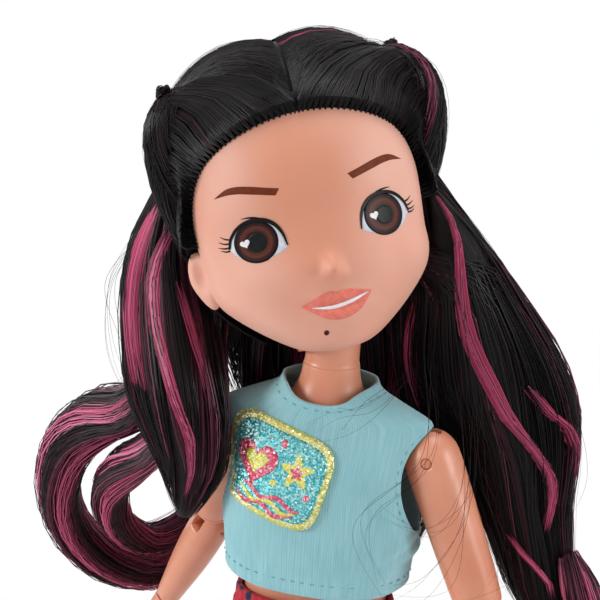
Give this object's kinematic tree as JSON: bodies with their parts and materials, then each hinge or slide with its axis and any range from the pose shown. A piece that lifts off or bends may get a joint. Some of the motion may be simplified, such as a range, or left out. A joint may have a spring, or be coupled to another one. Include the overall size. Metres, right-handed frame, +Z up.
{
  "type": "fashion doll",
  "caption": "Jointed fashion doll with a rooted-hair head on a three-way neck, swinging arms and legs, a crop top, shorts and sneakers.",
  "frame": {"origin": "centre of the bounding box's footprint, on the floor under the shoes; the body stands 12.5 mm in front of it because the hair spreads behind", "axes": "+Z up through the doll, its face towards -Y, its left hand at +X"},
  "size_m": [0.149, 0.0735, 0.2902],
  "materials": {
    "head_vinyl": "soft matte vinyl with a printed face",
    "body_plastic": "satin moulded plastic",
    "hair_black": "shiny nylon fibre, black",
    "hair_pink": "shiny nylon fibre, pink",
    "elastic": "thin dark elastic",
    "steel_pin": "plain wire pin",
    "jersey": "fine aqua knit with topstitching",
    "fastener": "hook-and-loop tape",
    "badge_print": "glitter print",
    "cotton": "red cotton with a dark pattern",
    "canvas": "plain woven canvas",
    "sole_rubber": "matte white rubber"
  },
  "bodies": {
    "torso": {"torso_front": "body_plastic", "torso_back": "body_plastic", "hip_axle": "steel_pin", "top_front": "jersey", "top_back_left": "jersey", "top_back_right": "jersey", "top_loop_strip": "fastener", "top_hook_strip": "fastener", "chest_badge": "badge_print", "shorts_left": "cotton", "shorts_right": "cotton", "shorts_waistband": "cotton"},
    "neck_ball": {"neck_ball": "body_plastic"},
    "head_anchor": {"head_anchor": "body_plastic"},
    "head": {"head": "head_vinyl", "hair_cap": "hair_black", "hair_roll_left": "hair_black", "hair_roll_right": "hair_black", "hair_tie_left": "elastic", "hair_tie_right": "elastic", "hair_fall_left": "hair_black", "hair_fall_right": "hair_black", "hair_fall_back": "hair_black", "hair_curl_left": "hair_pink", "hair_curl_right": "hair_pink", "hair_curl_inner": "hair_black"},
    "shoulder_left": {"shoulder_peg_left": "body_plastic"},
    "upper_arm_left": {"upper_arm_left": "body_plastic", "shoulder_pin_left": "steel_pin"},
    "elbow_left": {"elbow_peg_left": "body_plastic"},
    "forearm_left": {"forearm_left": "body_plastic", "elbow_pin_left": "steel_pin"},
    "hand_left": {"hand_left": "body_plastic"},
    "thigh_left": {"thigh_left": "body_plastic"},
    "shin_left": {"shin_left": "body_plastic", "knee_pin_left": "steel_pin", "shoe_left": "canvas", "shoe_sole_left": "sole_rubber"},
    "shoulder_right": {"shoulder_peg_right": "body_plastic"},
    "upper_arm_right": {"upper_arm_right": "body_plastic", "shoulder_pin_right": "steel_pin"},
    "elbow_right": {"elbow_peg_right": "body_plastic"},
    "forearm_right": {"forearm_right": "body_plastic", "elbow_pin_right": "steel_pin"},
    "hand_right": {"hand_right": "body_plastic"},
    "thigh_right": {"thigh_right": "body_plastic"},
    "shin_right": {"shin_right": "body_plastic", "knee_pin_right": "steel_pin", "shoe_right": "canvas", "shoe_sole_right": "sole_rubber"}
  },
  "joints": [
    {"name": "neck_nod", "type": "hinge", "parent": "torso", "child": "neck_ball", "pos_m": [0, -0.0125, 0.228], "axis": [1, 0, 0], "range_deg": [-6.3, 23.7], "deforming": ["hair_fall_left", "hair_fall_right", "hair_fall_back", "hair_curl_left", "hair_curl_right", "hair_curl_inner"]},
    {"name": "head_tilt", "type": "hinge", "parent": "neck_ball", "child": "head_anchor", "pos_m": [0, -0.0125, 0.228], "axis": [0, 0.9885, -0.1513], "range_deg": [-4.6, 43.4], "deforming": ["hair_fall_left", "hair_fall_right", "hair_fall_back", "hair_curl_left", "hair_curl_right", "hair_curl_inner"]},
    {"name": "head_turn", "type": "hinge", "parent": "head_anchor", "child": "head", "pos_m": [0, -0.0125, 0.228], "axis": [-0.3322, 0.1427, 0.9324], "range_deg": [-102, 58], "deforming": ["hair_fall_left", "hair_fall_right", "hair_fall_back", "hair_curl_left", "hair_curl_right", "hair_curl_inner"]},
    {"name": "shoulder_swing_left", "type": "hinge", "parent": "torso", "child": "shoulder_left", "pos_m": [0.0225, -0.0125, 0.2065], "axis": [-1, 0, 0], "range_deg": [-63, 147], "deforming": ["top_front", "top_back_left", "hair_fall_left", "hair_fall_right", "hair_fall_back", "hair_curl_left", "hair_curl_right", "hair_curl_inner"]},
    {"name": "shoulder_raise_left", "type": "hinge", "parent": "shoulder_left", "child": "upper_arm_left", "pos_m": [0.0225, -0.0125, 0.2065], "axis": [0, -0.9986, 0.0523], "range_deg": [-15.5, 66.5], "deforming": ["top_front", "top_back_left", "hair_fall_left", "hair_fall_right", "hair_fall_back", "hair_curl_left", "hair_curl_right", "hair_curl_inner"]},
    {"name": "elbow_swivel_left", "type": "hinge", "parent": "upper_arm_left", "child": "elbow_left", "pos_m": [0.03785, -0.01435, 0.17124], "axis": [0.3987, -0.048, -0.9158], "range_deg": [-90, 90], "deforming": ["hair_fall_left", "hair_fall_right", "hair_fall_back", "hair_curl_left", "hair_curl_right", "hair_curl_inner"]},
    {"name": "elbow_bend_left", "type": "hinge", "parent": "elbow_left", "child": "forearm_left", "pos_m": [0.03785, -0.01435, 0.17124], "axis": [-0.9171, -0.0209, -0.3982], "range_deg": [-8, 82]},
    {"name": "wrist_turn_left", "type": "hinge", "parent": "forearm_left", "child": "hand_left", "pos_m": [0.0495, -0.01985, 0.1447], "axis": [0.3949, -0.1865, -0.8996], "range_deg": [-90, 90]},
    {"name": "shoulder_swing_right", "type": "hinge", "parent": "torso", "child": "shoulder_right", "pos_m": [-0.0225, -0.0125, 0.2065], "axis": [-1, 0, 0], "range_deg": [-22, 128], "deforming": ["top_front", "top_back_right", "hair_fall_left", "hair_fall_right", "hair_fall_back", "hair_curl_left", "hair_curl_right", "hair_curl_inner"]},
    {"name": "shoulder_raise_right", "type": "hinge", "parent": "shoulder_right", "child": "upper_arm_right", "pos_m": [-0.0225, -0.0125, 0.2065], "axis": [0, 0.788, 0.6157], "range_deg": [-3.3, 78.7], "deforming": ["top_front", "top_back_right", "hair_fall_left", "hair_fall_right", "hair_fall_back", "hair_curl_left", "hair_curl_right", "hair_curl_inner"]},
    {"name": "elbow_swivel_right", "type": "hinge", "parent": "upper_arm_right", "child": "elbow_right", "pos_m": [-0.03004, 0.01074, 0.17675], "axis": [0.1959, -0.6037, 0.7727], "range_deg": [-44.6, 135.4], "deforming": ["hair_fall_left", "hair_fall_right", "hair_fall_back", "hair_curl_left", "hair_curl_right", "hair_curl_inner"]},
    {"name": "elbow_bend_right", "type": "hinge", "parent": "elbow_right", "child": "forearm_right", "pos_m": [-0.03004, 0.01074, 0.17675], "axis": [-0.6885, 0.4764, 0.5468], "range_deg": [-21.8, 68.2]},
    {"name": "wrist_turn_right", "type": "hinge", "parent": "forearm_right", "child": "hand_right", "pos_m": [-0.04306, 0.02028, 0.15205], "axis": [0.4412, -0.3232, 0.8372], "range_deg": [-90, 90]},
    {"name": "hip_swing_left", "type": "hinge", "parent": "torso", "child": "thigh_left", "pos_m": [0.0112, -0.0125, 0.146], "axis": [-1, 0, 0], "range_deg": [-15, 90], "deforming": ["shorts_left"]},
    {"name": "knee_bend_left", "type": "hinge", "parent": "thigh_left", "child": "shin_left", "pos_m": [0.0112, -0.0125, 0.083], "axis": [1, 0, 0], "range_deg": [0, 90]},
    {"name": "hip_swing_right", "type": "hinge", "parent": "torso", "child": "thigh_right", "pos_m": [-0.0112, -0.0125, 0.146], "axis": [-1, 0, 0], "range_deg": [-15, 90], "deforming": ["shorts_right"]},
    {"name": "knee_bend_right", "type": "hinge", "parent": "thigh_right", "child": "shin_right", "pos_m": [-0.0112, -0.0125, 0.083], "axis": [1, 0, 0], "range_deg": [0, 90]}
  ]
}
